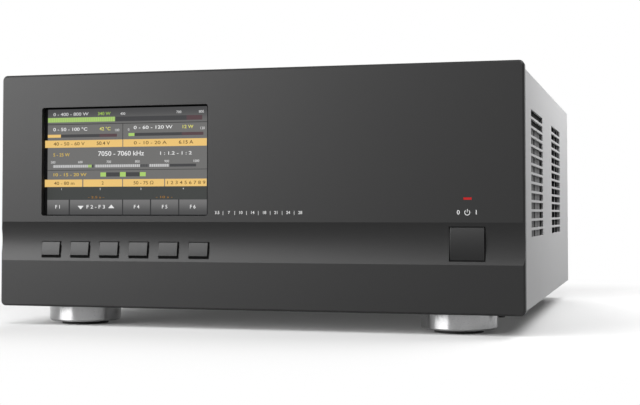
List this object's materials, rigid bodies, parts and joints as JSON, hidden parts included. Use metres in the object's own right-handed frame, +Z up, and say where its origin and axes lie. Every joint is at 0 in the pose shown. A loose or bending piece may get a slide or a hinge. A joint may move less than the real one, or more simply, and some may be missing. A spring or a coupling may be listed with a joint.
{
  "type": "linear amplifier",
  "caption": "Desk-top short-wave linear amplifier: dark grey front panel with a colour display, a row of menu keys in a shallow channel and a power key, on a grey slotted case with round feet.",
  "frame": {"origin": "floor level under the middle of the whole object's box", "axes": "+X to the right seen from the front, +Y to the back, +Z up; the front panel faces -Y"},
  "size_m": [0.422, 0.468, 0.2025],
  "materials": {
    "front_panel": "dark grey satin anodised",
    "button_plastic": "dark grey satin",
    "window_glass": "polished",
    "display_screen": "lit display",
    "black_rubber": "matt",
    "case_paint": "light silver-grey satin",
    "rear_paint": "dark grey satin",
    "plated_steel": "zinc plated",
    "light_lens": "translucent red",
    "foot_aluminium": "turned and polished",
    "black_screws": "black oxide",
    "sink_aluminium": "plain extruded",
    "copper": "milled copper",
    "circuit_board": "green solder mask",
    "black_plastic": "moulded",
    "fuse_plastic": "moulded, slotted",
    "chip_ceramic": "ceramic lid",
    "ferrite": "sintered ferrite",
    "enamelled_wire": "enamelled copper",
    "relay_plastic": "moulded",
    "capacitor_film": "dipped",
    "capacitor_sleeve": "shrink sleeve",
    "transformer_tape": "tape",
    "guard_wire": "plated wire",
    "nickel": "nickel plated",
    "gilt": "gilt",
    "brass": "plain",
    "spacer_brass": "plain",
    "lead_sleeve": "sleeve"
  },
  "bodies": {
    "chassis": {"front_panel": "front_panel", "display_window": "window_glass", "display_module": "display_screen", "display_gasket": "black_rubber", "foot_pads": "black_rubber", "top_cover": "case_paint", "rear_panel": "rear_paint", "chassis_tray": "plated_steel", "front_subpanel": "plated_steel", "bulkhead": "plated_steel", "supply_case": "plated_steel", "mains_filter": "plated_steel", "power_light": "light_lens", "front_foot_left": "foot_aluminium", "front_foot_right": "foot_aluminium", "rear_foot_left": "foot_aluminium", "rear_foot_right": "foot_aluminium", "cover_screws": "black_screws", "fan_screws": "black_screws", "foot_screws": "black_screws", "panel_screws": "black_screws", "heatsink": "sink_aluminium", "supply_heatsink": "sink_aluminium", "heat_spreader": "copper", "control_board": "circuit_board", "amplifier_board": "circuit_board", "filter_board": "circuit_board", "supply_board": "circuit_board", "menu_switches": "black_plastic", "power_switch": "black_plastic", "mains_inlet": "black_plastic", "fuse_holders": "black_plastic", "fan_frame_left": "black_plastic", "fan_frame_right": "black_plastic", "rf_transistors": "chip_ceramic", "ferrite_transformers": "ferrite", "filter_coils": "enamelled_wire", "filter_relays": "relay_plastic", "filter_capacitors": "capacitor_film", "supply_capacitors": "capacitor_sleeve", "supply_transformer": "transformer_tape", "fan_guards": "guard_wire", "rf_sockets": "nickel", "data_ports": "nickel", "phono_jacks": "gilt", "ground_post": "brass", "board_spacers": "spacer_brass", "leads": "lead_sleeve"},
    "menu_button_1": {"menu_button_1": "button_plastic"},
    "menu_button_2": {"menu_button_2": "button_plastic"},
    "menu_button_3": {"menu_button_3": "button_plastic"},
    "menu_button_4": {"menu_button_4": "button_plastic"},
    "menu_button_5": {"menu_button_5": "button_plastic"},
    "menu_button_6": {"menu_button_6": "button_plastic"},
    "power_button": {"power_button": "button_plastic"},
    "fan_rotor_left": {"fan_rotor_left": "black_plastic"},
    "fan_rotor_right": {"fan_rotor_right": "black_plastic"},
    "wing_nut": {"wing_nut": "brass"},
    "fuse_cap_1": {"fuse_cap_1": "fuse_plastic"},
    "fuse_cap_2": {"fuse_cap_2": "fuse_plastic"}
  },
  "joints": [
    {"name": "menu_button_1_press", "type": "slide", "parent": "chassis", "child": "menu_button_1", "axis": [0, 1, 0], "range_m": [0, 0.0008], "stiffness_N_per_m": 500, "springref_m": -0.0008},
    {"name": "menu_button_2_press", "type": "slide", "parent": "chassis", "child": "menu_button_2", "axis": [0, 1, 0], "range_m": [0, 0.0008], "stiffness_N_per_m": 500, "springref_m": -0.0008},
    {"name": "menu_button_3_press", "type": "slide", "parent": "chassis", "child": "menu_button_3", "axis": [0, 1, 0], "range_m": [0, 0.0008], "stiffness_N_per_m": 500, "springref_m": -0.0008},
    {"name": "menu_button_4_press", "type": "slide", "parent": "chassis", "child": "menu_button_4", "axis": [0, 1, 0], "range_m": [0, 0.0008], "stiffness_N_per_m": 500, "springref_m": -0.0008},
    {"name": "menu_button_5_press", "type": "slide", "parent": "chassis", "child": "menu_button_5", "axis": [0, 1, 0], "range_m": [0, 0.0008], "stiffness_N_per_m": 500, "springref_m": -0.0008},
    {"name": "menu_button_6_press", "type": "slide", "parent": "chassis", "child": "menu_button_6", "axis": [0, 1, 0], "range_m": [0, 0.0008], "stiffness_N_per_m": 500, "springref_m": -0.0008},
    {"name": "power_button_press", "type": "slide", "parent": "chassis", "child": "power_button", "axis": [0, 1, 0], "range_m": [0, 0.002], "stiffness_N_per_m": 500, "springref_m": -0.002},
    {"name": "fan_left_spin", "type": "hinge", "parent": "chassis", "child": "fan_rotor_left", "pos_m": [-0.043, 0.2, 0.0746], "axis": [0, 1, 0], "continuous": true},
    {"name": "fan_right_spin", "type": "hinge", "parent": "chassis", "child": "fan_rotor_right", "pos_m": [0.043, 0.2, 0.0746], "axis": [0, 1, 0], "continuous": true},
    {"name": "wing_nut_turn", "type": "hinge", "parent": "chassis", "child": "wing_nut", "pos_m": [-0.108, 0.2232, 0.0426], "axis": [0, 1, 0], "continuous": true},
    {"name": "fuse_cap_1_turn", "type": "hinge", "parent": "chassis", "child": "fuse_cap_1", "pos_m": [0.134, 0.219, 0.1146], "axis": [0, 1, 0], "range_deg": [0, 45]},
    {"name": "fuse_cap_2_turn", "type": "hinge", "parent": "chassis", "child": "fuse_cap_2", "pos_m": [0.17, 0.219, 0.1146], "axis": [0, 1, 0], "range_deg": [0, 45]}
  ]
}
